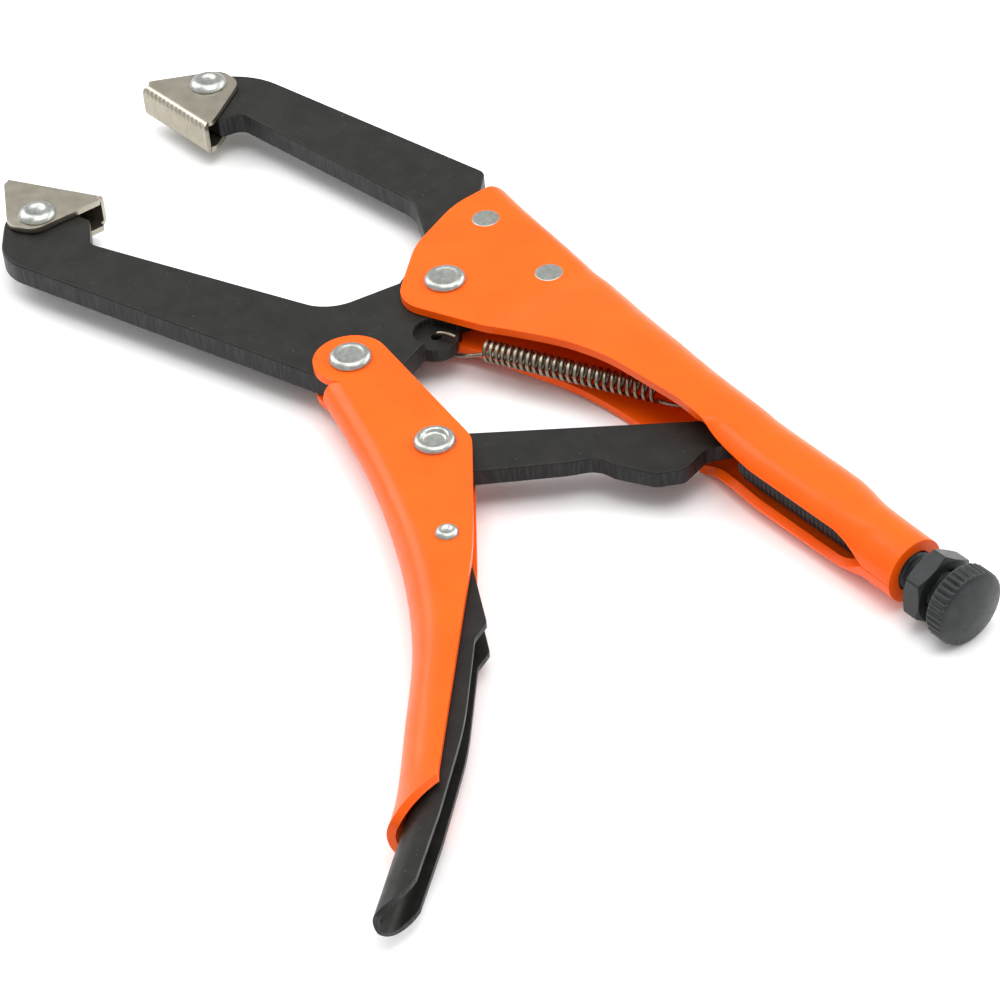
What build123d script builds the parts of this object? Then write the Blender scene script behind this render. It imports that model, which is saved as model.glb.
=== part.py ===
from build123d import *
from math import cos, radians, sin
import os

os.makedirs("parts", exist_ok=True)

# ------------------------------------------------------------------ driving dimensions (mm)
# The tool is laid out about its main pivot: x runs back along the adjusting screw, y towards
# the spine of the fixed handle, z across the tool with z = 0 in the middle of its thickness.

JAW_THICKNESS = 6.0
LINK_THICKNESS = 4.5
HANDLE_WALL = 2.2
LEVER_WALL = 2.0
RELEASE_WALL = 1.5
PAD_WALL = 1.5
RUNNING_GAP = 0.05          # radial clearance of a pin in the piece that turns on it
EDGE_BREAK = 0.5            # rounding on the sheared edges of the plates

MAIN_PIVOT = (0.0, 0.0)
JAW_RIVET_FRONT = (-13.7, 23.8)
JAW_RIVET_REAR = (15.7, 20.7)
LEVER_PIVOT = (9.0, -36.3)
LINK_PIVOT = (49.1, -41.2)
RELEASE_PIVOT = (78.8, -60.5)
FIXED_PAD_PIVOT = (-116.8, 9.0)
MOVABLE_PAD_PIVOT = (-98.1, -58.5)

HANDLE_FRONT_HALF = JAW_THICKNESS / 2 + 0.15 + HANDLE_WALL      # half width over the rivets
LEVER_FRONT_HALF = JAW_THICKNESS / 2 + 0.2 + LEVER_WALL
LEVER_REAR_HALF = 8.0
BARREL_RADIUS = 8.0
TUBE_RADIUS = 8.8

PIVOT_PIN_RADIUS = 4.0
FLUSH_RIVET_RADIUS = 3.55
FLUSH_RIVET_PROUD = 0.15     # how far these rivets stand out of the handle
PAD_PIN_RADIUS = 3.0
RELEASE_PIN_RADIUS = 2.0

JAW_HEAD_RADIUS = 12.2      # round head of the movable jaw about the main pivot
SPRING_LUG = (12.0, -12.6)
SPRING_LUG_RADIUS = 5.5
SPRING_HOLE_RADIUS = 1.4
LUG_FLOOR_Z = 0.8           # the lug is spot-faced down to here

LINK_ANGLE = 51.3
LINK_LENGTH = 69.5
NOSE_RADIUS = 4.0

SCREW_Y = 12.9
SCREW_RADIUS = 5.0
SCREW_TIP_X = 99.8          # 3.3 mm behind the link's nose, which swings towards it in mid travel
BARREL_END_X = 155.5
TAPPED_START_X = 140.0
SLOT_END_X = 146.0
NUT_START_X = 160.0
NUT_HEIGHT = 5.0
NUT_ACROSS_FLATS = 16.0
NUT_TURN = 24.8             # one corner of the hexagon stands nearly straight up
KNOB_START_X = 168.3
KNOB_END_X = 175.5
KNOB_RADIUS = 9.4

SPRING_START = (23.6, -6.6)
SPRING_END = (66.0, 13.2)
SPRING_RADIUS = 2.9
SPRING_WIRE = 1.05
SPRING_ANCHOR = (75.0, 17.0)

PAD_FACE_DISTANCE = 13.5    # from the swivel rivet to the grip face
PAD_LONG_SIDE = 15.5
PAD_SHORT_SIDE = 12.3
PAD_HALF_WIDTH = 4.85
FIXED_PAD_TILT = 2.6
MOVABLE_PAD_TILT = 29.5


def rotated(point, angle):
    """The point turned about the origin, angle in degrees."""
    turn = radians(angle)
    return (
        point[0] * cos(turn) - point[1] * sin(turn),
        point[0] * sin(turn) + point[1] * cos(turn),
    )


def folded_channel(stations, wall, side):
    """A folded-sheet channel with a half-round back, lofted through its stations.

    A station is (x, y, heading, half_width, depth): the centre of the half-round back, the way
    the channel runs there in degrees, half the outer width, and the reach of the side walls.
    side is +1 where the channel opens to the left of its run, -1 to the right.
    """
    with BuildPart() as channel:
        for inset, reach, mode in ((0, 0, Mode.ADD), (wall, 1, Mode.SUBTRACT)):
            for x, y, heading, half_width, depth in stations:
                run = rotated((1, 0), heading)
                opening = rotated((side, 0), heading + 90)
                plane = Plane(origin=(x, y, 0), x_dir=(*opening, 0), z_dir=(*run, 0))
                half = half_width - inset
                lip = depth + reach
                with BuildSketch(plane):
                    with BuildLine():
                        ThreePointArc((0, -half), (-half, 0), (0, half))
                        Polyline((0, half), (lip, half), (lip, -half), (0, -half))
                    make_face()
            loft(mode=mode)
    return channel.part


def rivet(place, pin_radius, head_radius, seat, top, crown=0.55):
    """A headed pin through the tool: head seats at z = +-seat, tops at z = +-top."""
    section = Plane(origin=(*place, 0), x_dir=(1, 0, 0), z_dir=(0, -1, 0))
    with BuildPart() as pin:
        with BuildSketch(section):
            with BuildLine():
                Polyline((0, 0), (pin_radius, 0), (pin_radius, seat), (head_radius, seat))
                Line((head_radius, seat), (head_radius, seat + 0.35 * (top - seat)))
                RadiusArc(
                    (head_radius, seat + 0.35 * (top - seat)),
                    (crown * head_radius, top),
                    -head_radius * 0.75,
                )
                Polyline((crown * head_radius, top), (0, top), (0, 0))
            make_face()
        revolve(axis=Axis((*place, 0), (0, 0, 1)))
        mirror(about=Plane.XY)
    return pin


# ------------------------------------------------------------------ fixed jaw
with BuildPart() as fixed_jaw:
    with BuildSketch():
        with BuildLine():
            FilletPolyline(
                (-123.4, 2.4),
                (-123.6, 12.3),
                (-112.4, 22.8),
                (-33.0, 38.6),
                (-26.6, 31.8),
                (0.0, 29.0),
                (24.0, 26.2),
                (22.5, 12.0),
                (-12.0, 5.0),
                (-35.5, 17.0),
                (-101.3, 8.6),
                (-102.8, 2.4),
                radius=[6.2, 5.5, 22, 3, 2, 30, 2.5, 3, 1, 12, 3.5, 0.8],
                close=True,
            )
        make_face()
        Circle(JAW_HEAD_RADIUS + 0.6, mode=Mode.SUBTRACT)
        with Locations(JAW_RIVET_FRONT, JAW_RIVET_REAR):
            Circle(FLUSH_RIVET_RADIUS, mode=Mode.SUBTRACT)
        with Locations(FIXED_PAD_PIVOT):
            Circle(PAD_PIN_RADIUS, mode=Mode.SUBTRACT)
    extrude(amount=JAW_THICKNESS / 2, both=True)

# ------------------------------------------------------------------ movable jaw
with BuildPart() as movable_jaw:
    with BuildSketch():
        with BuildLine():
            FilletPolyline(
                (-9.4, -4.0),
                (-13.4, -26.8),
                (-79.5, -54.4),
                (-88.6, -48.7),
                (-106.0, -53.8),
                (-105.2, -64.3),
                (-90.5, -75.2),
                (20.0, -40.6),
                (18.0, -28.0),
                (14.2, -18.3),
                (14.0, -6.0),
                (2.0, 2.0),
                radius=[1, 12, 3.5, 1.5, 5.0, 9, 13, 8, 12, 1, 3, 1],
                close=True,
            )
        make_face()
        Circle(JAW_HEAD_RADIUS)
        with Locations(SPRING_LUG):
            Circle(SPRING_LUG_RADIUS)
            Circle(SPRING_HOLE_RADIUS, mode=Mode.SUBTRACT)
        with Locations(MAIN_PIVOT, LEVER_PIVOT):
            Circle(PIVOT_PIN_RADIUS + RUNNING_GAP, mode=Mode.SUBTRACT)
        with Locations(MOVABLE_PAD_PIVOT):
            Circle(PAD_PIN_RADIUS, mode=Mode.SUBTRACT)
    extrude(amount=JAW_THICKNESS / 2, both=True)
    with BuildSketch(Plane.XY.offset(LUG_FLOOR_Z)):
        with Locations(SPRING_LUG):
            Circle(SPRING_LUG_RADIUS)
    extrude(amount=JAW_THICKNESS, mode=Mode.SUBTRACT)

for plate in (fixed_jaw, movable_jaw):
    with plate:
        flats = plate.faces().filter_by(Axis.Z)
        rims = flats.sort_by(Axis.Z)[-1].outer_wire().edges()
        rims += flats.sort_by(Axis.Z)[0].outer_wire().edges()
        fillet(rims, EDGE_BREAK)

# ------------------------------------------------------------------ fixed handle
# A channel over both jaws at the front, widening back into a tube about the screw. The tube is
# open underneath for the link's nose, and closes into a tapped barrel at its rear end.
HANDLE_STATIONS = [
    (-30.0, 33.1, 0.0, HANDLE_FRONT_HALF, 50.0),
    (-20.0, 31.7, 0.0, HANDLE_FRONT_HALF, 48.0),
    (-10.0, 30.4, 0.0, HANDLE_FRONT_HALF, 47.0),
    (0.0, 29.2, 0.0, HANDLE_FRONT_HALF, 46.0),
    (10.0, 28.0, 0.0, HANDLE_FRONT_HALF, 44.0),
    (19.5, 26.6, 0.0, HANDLE_FRONT_HALF, 43.0),
    (28.0, 24.9, 0.0, 6.3, 41.0),
    (45.0, 21.0, 0.0, 7.9, 37.0),
    (62.0, 18.2, 0.0, 8.9, 35.0),
    (78.0, 16.6, 0.0, 9.0, 33.0),
    (95.0, 15.7, 0.0, 8.9, 32.0),
]
TUBE_STATIONS = [
    (90.0, 15.8, 8.95),
    (100.0, 15.3, TUBE_RADIUS),
    (128.0, 14.7, TUBE_RADIUS),
    (140.0, 13.4, 8.2),
    (BARREL_END_X, SCREW_Y, BARREL_RADIUS),
]

with BuildPart() as handle_shell:
    add(folded_channel(HANDLE_STATIONS, HANDLE_WALL, -1))
    with BuildSketch():
        with BuildLine():
            FilletPolyline(
                (-24.8, 38.0),
                (-24.3, 21.5),
                (-17.3, 3.8),
                (-1.6, -14.4),
                (47.5, 6.4),
                (81.0, 8.2),
                (95.0, 4.0),
                (95.0, 40.0),
                radius=[3, 25, 25, 9, 70, 40, 1, 1],
                close=True,
            )
        make_face()
    extrude(amount=20, both=True, mode=Mode.INTERSECT)
    for x, y, radius in TUBE_STATIONS:
        with BuildSketch(Plane(origin=(x, y, 0), z_dir=(1, 0, 0))):
            Circle(radius)
    loft()
    for x, y, radius in TUBE_STATIONS[:-1]:
        with BuildSketch(Plane(origin=(x, y, 0), z_dir=(1, 0, 0))):
            Circle(radius - HANDLE_WALL)
    loft(mode=Mode.SUBTRACT)
    with BuildSketch(Plane(origin=(TAPPED_START_X - 2, SCREW_Y, 0), z_dir=(1, 0, 0))):
        Circle(SCREW_RADIUS + RUNNING_GAP)
    extrude(amount=BARREL_END_X - TAPPED_START_X + 4, mode=Mode.SUBTRACT)
    with BuildSketch(Plane.XY):
        with Locations(((88 + SLOT_END_X) / 2, SCREW_Y - 10)):
            Rectangle(SLOT_END_X - 88, 20)
    extrude(amount=4.7, both=True, mode=Mode.SUBTRACT)
    with BuildSketch(Plane.XY):
        with Locations(MAIN_PIVOT):
            Circle(PIVOT_PIN_RADIUS)
        with Locations(JAW_RIVET_FRONT, JAW_RIVET_REAR):
            Circle(FLUSH_RIVET_RADIUS)
    extrude(amount=20, both=True, mode=Mode.SUBTRACT)
    # a tab folded in from the back of the channel holds the rear hook of the spring
    with BuildSketch(Plane.XY):
        with Locations((SPRING_ANCHOR[0], SPRING_ANCHOR[1] + 3.0)):
            Rectangle(5.0, 9.6)
        with Locations(SPRING_ANCHOR):
            Circle(1.2, mode=Mode.SUBTRACT)
    extrude(amount=0.9, both=True)

main_pivot_rivet = rivet(MAIN_PIVOT, PIVOT_PIN_RADIUS, 5.35, HANDLE_FRONT_HALF + 0.1, 7.0)

# ------------------------------------------------------------------ flush rivets of the fixed jaw
with BuildPart() as fixed_jaw_rivet_front:
    with Locations((*JAW_RIVET_FRONT, 0)):
        Cylinder(FLUSH_RIVET_RADIUS, 2 * (HANDLE_FRONT_HALF + FLUSH_RIVET_PROUD))

with BuildPart() as fixed_jaw_rivet_rear:
    with Locations((*JAW_RIVET_REAR, 0)):
        Cylinder(FLUSH_RIVET_RADIUS, 2 * (HANDLE_FRONT_HALF + FLUSH_RIVET_PROUD))

# ------------------------------------------------------------------ lever
LEVER_STATIONS = [
    (13.4, -42.4, -16.0, LEVER_FRONT_HALF, 18.0),
    (27.2, -46.5, -17.0, LEVER_FRONT_HALF, 20.0),
    (42.5, -51.4, -19.5, LEVER_FRONT_HALF, 22.0),
    (57.9, -57.1, -23.5, 5.7, 20.0),
    (73.6, -63.4, -27.0, 6.7, 18.0),
    (89.1, -71.2, -31.5, 7.4, 16.0),
    (104.7, -81.3, -37.5, 7.8, 14.0),
    (124.7, -98.5, -41.0, LEVER_REAR_HALF, 12.0),
    (142.9, -115.0, -44.5, LEVER_REAR_HALF, 12.0),
    (154.0, -126.2, -46.0, LEVER_REAR_HALF, 12.0),
]
LEVER_BOSS_RADIUS = 9.3

with BuildPart() as lever_shell:
    add(folded_channel(LEVER_STATIONS, LEVER_WALL, 1))
    with BuildSketch():
        with BuildLine():
            FilletPolyline(
                (13.6, -28.0),
                (54.0, -34.2),
                (87.0, -59.3),
                (141.2, -111.6),
                (143.4, -127.0),
                (137.0, -135.0),
                (60.0, -75.0),
                (17.8, -51.5),
                (14.6, -45.4),
                radius=[0.5, 10, 150, 3, 3, 1, 1, 0.8, 1.5],
                close=True,
            )
        make_face()
    extrude(amount=20, both=True, mode=Mode.INTERSECT)
    # the two bosses at the front end carry the lever on the movable jaw
    for z in (-LEVER_FRONT_HALF, LEVER_FRONT_HALF - LEVER_WALL):
        with BuildSketch(Plane.XY.offset(z)):
            with Locations(LEVER_PIVOT):
                Circle(LEVER_BOSS_RADIUS)
            with BuildLine():
                Polyline((9, -27.0), (18, -28.7), (18, -49.8), (14.6, -45.4), (9, -45.6), (9, -27.0))
            make_face()
        extrude(amount=LEVER_WALL)
    with BuildSketch():
        with Locations(LEVER_PIVOT, LINK_PIVOT):
            Circle(PIVOT_PIN_RADIUS)
        with Locations(RELEASE_PIVOT):
            Circle(RELEASE_PIN_RADIUS)
    extrude(amount=20, both=True, mode=Mode.SUBTRACT)

lever_pivot_rivet = rivet(LEVER_PIVOT, PIVOT_PIN_RADIUS, 5.4, LEVER_FRONT_HALF, 6.9, 0.7)
link_pivot_rivet = rivet(LINK_PIVOT, PIVOT_PIN_RADIUS, 5.2, LEVER_FRONT_HALF + 0.25, 6.9, 0.7)
release_pivot_rivet = rivet(RELEASE_PIVOT, RELEASE_PIN_RADIUS, 2.8, 7.2, 8.1)

# ------------------------------------------------------------------ toggle link
# Drawn along its own length from the link pivot, then turned into place.
LINK_PLANE = Plane(origin=(*LINK_PIVOT, 0), x_dir=(*rotated((1, 0), LINK_ANGLE), 0), z_dir=(0, 0, 1))

with BuildPart() as toggle_link:
    with BuildSketch(LINK_PLANE):
        with BuildLine():
            FilletPolyline(
                (-1.0, 6.6),
                (LINK_LENGTH + 2.0, 6.3),
                (LINK_LENGTH + NOSE_RADIUS, 2.0),
                (LINK_LENGTH + NOSE_RADIUS, -2.6),
                (64.0, -4.2),
                (58.4, -11.6),
                (51.5, -12.6),
                (42.0, -8.6),
                (38.0, -5.3),
                (31.0, -6.6),
                (0.0, -8.6),
                radius=[1, 3, 2.4, 1.6, 5, 3, 6, 3, 6, 30, 1],
                close=True,
            )
        make_face()
        Circle(8.6)
        Circle(PIVOT_PIN_RADIUS + RUNNING_GAP, mode=Mode.SUBTRACT)
    extrude(amount=LINK_THICKNESS / 2, both=True)
    rims = toggle_link.faces().filter_by(Axis.Z).sort_by(Axis.Z)
    fillet(rims[-1].outer_wire().edges() + rims[0].outer_wire().edges(), 0.4)

# ------------------------------------------------------------------ release lever
RELEASE_STATIONS = [
    (73.6, -62.4, -27.0, 4.2, 14.0),
    (89.1, -71.2, -31.5, 4.7, 14.0),
    (104.7, -81.3, -37.5, 5.2, 14.0),
    (124.7, -98.5, -42.5, 5.3, 12.0),
    (142.8, -114.7, -47.0, 5.3, 10.0),
    (153.2, -127.1, -50.5, 5.4, 9.0),
    (166.0, -143.0, -51.0, 5.4, 9.0),
]

with BuildPart() as release_lever:
    add(folded_channel(RELEASE_STATIONS, RELEASE_WALL, 1))
    with BuildSketch():
        with BuildLine():
            FilletPolyline(
                (75.5, -54.0),
                (107.6, -71.8),
                (109.8, -77.0),
                (130.0, -95.7),
                (147.3, -116.0),
                (159.3, -131.3),
                (162.6, -141.2),
                (156.0, -144.8),
                (140.0, -130.0),
                (86.0, -85.0),
                (82.0, -67.5),
                (73.5, -64.5),
                radius=[4, 2, 2, 40, 40, 2, 3, 3, 2, 2, 3, 4.5],
                close=True,
            )
        make_face()
    extrude(amount=20, both=True, mode=Mode.INTERSECT)
    with BuildSketch():
        with Locations(RELEASE_PIVOT):
            Circle(RELEASE_PIN_RADIUS + RUNNING_GAP)
    extrude(amount=20, both=True, mode=Mode.SUBTRACT)

# ------------------------------------------------------------------ adjusting screw and lock nut
SCREW_PLANE = Plane(origin=(0, SCREW_Y, 0), x_dir=(0, 1, 0), z_dir=(1, 0, 0))
KNOB_DOME = 1.8

with BuildPart() as adjusting_screw:
    with BuildSketch(Plane(origin=(0, SCREW_Y, 0), x_dir=(1, 0, 0), z_dir=(0, 0, 1))):
        with BuildLine():
            rim = KNOB_END_X - KNOB_DOME
            dome_radius = ((KNOB_RADIUS - 0.5) ** 2 + KNOB_DOME**2) / (2 * KNOB_DOME)
            Polyline((SCREW_TIP_X, 0), (SCREW_TIP_X, 3.4), (SCREW_TIP_X + 1.4, SCREW_RADIUS))
            Polyline((SCREW_TIP_X + 1.4, SCREW_RADIUS), (KNOB_START_X - 3.0, SCREW_RADIUS))
            Polyline((KNOB_START_X - 3.0, SCREW_RADIUS), (KNOB_START_X - 2.2, 5.8))
            Polyline((KNOB_START_X - 2.2, 5.8), (KNOB_START_X, 6.4), (KNOB_START_X, KNOB_RADIUS - 0.5))
            Line((KNOB_START_X, KNOB_RADIUS - 0.5), (KNOB_START_X + 0.5, KNOB_RADIUS))
            Polyline((KNOB_START_X + 0.5, KNOB_RADIUS), (rim - 0.7, KNOB_RADIUS), (rim, KNOB_RADIUS - 0.5))
            RadiusArc((rim, KNOB_RADIUS - 0.5), (KNOB_END_X, 0), dome_radius)
            Line((KNOB_END_X, 0), (SCREW_TIP_X, 0))
        make_face()
    revolve(axis=Axis((0, SCREW_Y, 0), (1, 0, 0)))

with BuildPart() as lock_nut:
    with BuildSketch(SCREW_PLANE.offset(NUT_START_X)):
        RegularPolygon(NUT_ACROSS_FLATS / 2, 6, major_radius=False, rotation=NUT_TURN)
        Circle(SCREW_RADIUS + RUNNING_GAP, mode=Mode.SUBTRACT)
    extrude(amount=NUT_HEIGHT)
    # the corners are turned off at both faces
    with BuildSketch(Plane(origin=(0, SCREW_Y, 0), x_dir=(1, 0, 0), z_dir=(0, 0, 1))):
        with BuildLine():
            corner = NUT_ACROSS_FLATS / 2 / cos(radians(30)) + 0.2
            face = NUT_ACROSS_FLATS / 2 - 0.2
            Polyline(
                (NUT_START_X, 0),
                (NUT_START_X, face),
                (NUT_START_X + 1.0, corner),
                (NUT_START_X + NUT_HEIGHT - 1.0, corner),
                (NUT_START_X + NUT_HEIGHT, face),
                (NUT_START_X + NUT_HEIGHT, 0),
                close=True,
            )
        make_face()
    revolve(axis=Axis((0, SCREW_Y, 0), (1, 0, 0)), mode=Mode.INTERSECT)

# ------------------------------------------------------------------ return spring
# The coil is one sleeve. The front hook comes up through the lug of the movable jaw and turns
# back over it; the rear hook passes through the tab in the handle.
coil_run = Vector(SPRING_END[0] - SPRING_START[0], SPRING_END[1] - SPRING_START[1], 0)
COIL_PLANE = Plane(origin=(*SPRING_START, 0), x_dir=(0, 0, 1), z_dir=coil_run)
HOOK_LOW = -(SPRING_RADIUS - SPRING_WIRE / 2)

with BuildPart() as return_spring:
    with BuildSketch(COIL_PLANE):
        Circle(SPRING_RADIUS)
        Circle(SPRING_RADIUS - SPRING_WIRE, mode=Mode.SUBTRACT)
    extrude(amount=coil_run.length)
    with BuildLine() as front_hook:
        FilletPolyline(
            (SPRING_START[0] + 1.5, SPRING_START[1] + 0.5, HOOK_LOW),
            (*SPRING_LUG, -4.1),
            (*SPRING_LUG, 2.2),
            (SPRING_LUG[0] + 5.0, SPRING_LUG[1] + 2.3, 2.2),
            radius=0.9,
        )
    with BuildSketch(Plane(origin=front_hook.line @ 0, z_dir=front_hook.line % 0)):
        Circle(SPRING_WIRE / 2)
    sweep(path=front_hook.line)
    with BuildLine() as rear_hook:
        FilletPolyline(
            (SPRING_END[0] - 1.5, SPRING_END[1] - 0.5, HOOK_LOW),
            (*SPRING_ANCHOR, HOOK_LOW),
            (*SPRING_ANCHOR, 2.6),
            radius=1.2,
        )
    with BuildSketch(Plane(origin=rear_hook.line @ 0, z_dir=rear_hook.line % 0)):
        Circle(SPRING_WIRE / 2)
    sweep(path=rear_hook.line)


# ------------------------------------------------------------------ swivel pads
def swivel_pad(pivot, run_angle, flip):
    """A pressed pad: two cheeks on the swivel rivet and a flat grip face bent between them.

    run_angle is the way its long side points. flip is +1 where the grip face is to the left of
    that direction, -1 where it is to the right.
    """
    run = rotated((1, 0), run_angle)
    place = Plane(origin=(*pivot, 0), x_dir=(*run, 0), z_dir=(0, 0, flip))
    start = place.from_local_coords((-PAD_SHORT_SIDE - 2, 0, 0))
    section = Plane(origin=start, x_dir=place.y_dir, z_dir=place.x_dir)
    face = PAD_FACE_DISTANCE
    with BuildPart() as pad:
        # the bent sheet in section, drawn out along the pad
        with BuildSketch(section):
            with Locations((face - 20, 0)):
                RectangleRounded(40, 2 * PAD_HALF_WIDTH, 3.0)
            with Locations((face - PAD_WALL - 20, 0)):
                RectangleRounded(40, 2 * (PAD_HALF_WIDTH - PAD_WALL), 1.5, mode=Mode.SUBTRACT)
        extrude(amount=PAD_LONG_SIDE + PAD_SHORT_SIDE + 4)
        with BuildSketch(place):
            with BuildLine():
                FilletPolyline(
                    (-PAD_SHORT_SIDE, face + 1),
                    (-PAD_SHORT_SIDE - 1.0, face - 3.6),
                    (-2.6, -6.6),
                    (5.4, -6.6),
                    (PAD_LONG_SIDE - 0.6, face - 4.5),
                    (PAD_LONG_SIDE, face + 1),
                    radius=[0.5, 1.5, 5, 5.2, 5, 0.5],
                    close=True,
                )
            make_face()
            Circle(PAD_PIN_RADIUS + RUNNING_GAP, mode=Mode.SUBTRACT)
        extrude(amount=20, both=True, mode=Mode.INTERSECT)
    return pad


fixed_pad = swivel_pad(FIXED_PAD_PIVOT, FIXED_PAD_TILT, -1)
movable_pad = swivel_pad(MOVABLE_PAD_PIVOT, MOVABLE_PAD_TILT + 180, -1)
PAD_RIVET_SEAT = PAD_HALF_WIDTH + 0.1
fixed_pad_rivet = rivet(FIXED_PAD_PIVOT, PAD_PIN_RADIUS, 5.0, PAD_RIVET_SEAT, 6.6)
movable_pad_rivet = rivet(MOVABLE_PAD_PIVOT, PAD_PIN_RADIUS, 5.0, PAD_RIVET_SEAT, 6.6)

# ------------------------------------------------------------------ placing and writing the pieces
pieces = {
    "handle_shell": handle_shell,
    "fixed_jaw": fixed_jaw,
    "fixed_jaw_rivet_front": fixed_jaw_rivet_front,
    "fixed_jaw_rivet_rear": fixed_jaw_rivet_rear,
    "main_pivot_rivet": main_pivot_rivet,
    "movable_jaw": movable_jaw,
    "lever_shell": lever_shell,
    "lever_pivot_rivet": lever_pivot_rivet,
    "toggle_link": toggle_link,
    "link_pivot_rivet": link_pivot_rivet,
    "release_lever": release_lever,
    "release_pivot_rivet": release_pivot_rivet,
    "adjusting_screw": adjusting_screw,
    "lock_nut": lock_nut,
    "return_spring": return_spring,
    "fixed_pad": fixed_pad,
    "movable_pad": movable_pad,
    "fixed_pad_rivet": fixed_pad_rivet,
    "movable_pad_rivet": movable_pad_rivet,
}

# The finished frame has its origin under the middle of the tool as it lies on its side.
extent = Compound([piece.part for piece in pieces.values()]).bounding_box()
to_frame = Location((-extent.center().X, -extent.center().Y, -extent.min.Z))
print("main pivot in the finished frame:", to_frame.position)
for name, piece in pieces.items():
    piece.part.label = name
    piece.part.move(to_frame)
    export_step(piece.part, f"parts/{name}.step")
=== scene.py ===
"""Looks of the locking C clamp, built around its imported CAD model."""
import math

import bpy
import numpy as np
from mathutils import Matrix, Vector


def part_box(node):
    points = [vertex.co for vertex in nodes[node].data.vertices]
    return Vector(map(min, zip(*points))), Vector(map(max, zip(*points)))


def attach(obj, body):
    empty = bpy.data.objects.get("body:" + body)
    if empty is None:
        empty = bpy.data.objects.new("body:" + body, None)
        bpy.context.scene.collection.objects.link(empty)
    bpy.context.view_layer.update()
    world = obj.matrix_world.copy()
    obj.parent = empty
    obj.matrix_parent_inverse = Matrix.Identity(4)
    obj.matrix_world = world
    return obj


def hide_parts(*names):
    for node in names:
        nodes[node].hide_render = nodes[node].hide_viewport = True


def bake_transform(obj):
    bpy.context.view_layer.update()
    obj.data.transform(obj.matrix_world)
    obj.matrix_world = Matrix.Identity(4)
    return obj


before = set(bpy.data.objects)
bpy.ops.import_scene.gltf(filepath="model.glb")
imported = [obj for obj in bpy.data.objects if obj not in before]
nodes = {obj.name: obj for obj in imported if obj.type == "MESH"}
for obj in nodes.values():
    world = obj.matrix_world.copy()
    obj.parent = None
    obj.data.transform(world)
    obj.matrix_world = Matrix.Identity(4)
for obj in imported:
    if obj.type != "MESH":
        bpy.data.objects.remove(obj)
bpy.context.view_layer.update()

# ------------------------------------------------------------------ where things are
# Shapes are drawn in millimetres about the main pivot, as the tool is: x runs back along the
# screw, y towards the spine of the handle, z across the tool from its mid plane.
MM = 0.001


def centre(node):
    low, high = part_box(node)
    return np.array((low + high) / 2)


PIVOT = centre("main_pivot_rivet")


def place_of(node):
    """The middle of a CAD node, in millimetres about the main pivot."""
    return (centre(node) - PIVOT) / MM


def extent_of(node):
    """Lowest and highest corner of a CAD node, in millimetres about the main pivot."""
    low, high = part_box(node)
    return (np.array(low) - PIVOT) / MM, (np.array(high) - PIVOT) / MM


# ------------------------------------------------------------------ curves
def smooth(x, keys):
    """Smooth interpolation through (x, value) keys that never overshoots them."""
    xs = np.array([key[0] for key in keys], float)
    ys = np.array([key[1] for key in keys], float)
    step = np.diff(xs)
    slope = np.diff(ys) / step
    turn = np.zeros(len(xs))
    turn[0], turn[-1] = slope[0], slope[-1]
    same = slope[:-1] * slope[1:] > 0
    weight = 2 * step[1:] + step[:-1]
    other = step[1:] + 2 * step[:-1]
    inner = np.zeros(len(slope) - 1)
    inner[same] = (weight + other)[same] / (weight[same] / slope[:-1][same] + other[same] / slope[1:][same])
    turn[1:-1] = inner
    x = np.clip(np.asarray(x, float), xs[0], xs[-1])
    i = np.clip(np.searchsorted(xs, x) - 1, 0, len(xs) - 2)
    t = (x - xs[i]) / step[i]
    a = (1 + 2 * t) * (1 - t) ** 2 * ys[i] + t * (1 - t) ** 2 * step[i] * turn[i]
    b = t * t * (3 - 2 * t) * ys[i + 1] + t * t * (t - 1) * step[i] * turn[i + 1]
    return a + b


def rounded(corners):
    """An open outline through (x, y, radius) corners, each turned by an arc of its radius."""
    path = [np.array(corners[0][:2], float)]
    for before, corner, after in zip(corners, corners[1:], corners[2:]):
        point = np.array(corner[:2], float)
        back = np.array(before[:2], float) - point
        ahead = np.array(after[:2], float) - point
        room = 0.49 * min(np.linalg.norm(back), np.linalg.norm(ahead))
        back, ahead = back / np.linalg.norm(back), ahead / np.linalg.norm(ahead)
        half = math.acos(np.clip(back @ ahead, -1, 1)) / 2
        reach = min(corner[2] / math.tan(half), room)
        radius = reach * math.tan(half)
        middle = point + (back + ahead) / np.linalg.norm(back + ahead) * radius / math.sin(half)
        first, last = point + back * reach - middle, point + ahead * reach - middle
        sweep = math.pi - 2 * half
        for t in np.linspace(0, 1, 13):
            arc = first * math.sin((1 - t) * sweep) + last * math.sin(t * sweep)
            path.append(middle + arc / math.sin(sweep))
    path.append(np.array(corners[-1][:2], float))
    return np.array(path)


def even(path, count):
    """The path cut into evenly spaced points."""
    path = np.asarray(path, float)
    run = np.concatenate([[0], np.cumsum(np.linalg.norm(np.diff(path, axis=0), axis=1))])
    at = np.linspace(0, run[-1], count)
    return np.stack([np.interp(at, run, path[:, k]) for k in range(path.shape[1])], 1)


def coons(low, high, left, right):
    """A grid between four edges: low and high run along it, left and right across it."""
    s = np.linspace(0, 1, len(low))[:, None, None]
    t = np.linspace(0, 1, len(left))[None, :, None]
    along = (1 - t) * low[:, None] + t * high[:, None]
    across = (1 - s) * left[None] + s * right[None]
    corners = (1 - s) * ((1 - t) * low[0] + t * high[0]) + s * ((1 - t) * low[-1] + t * high[-1])
    return along + across - corners


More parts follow.
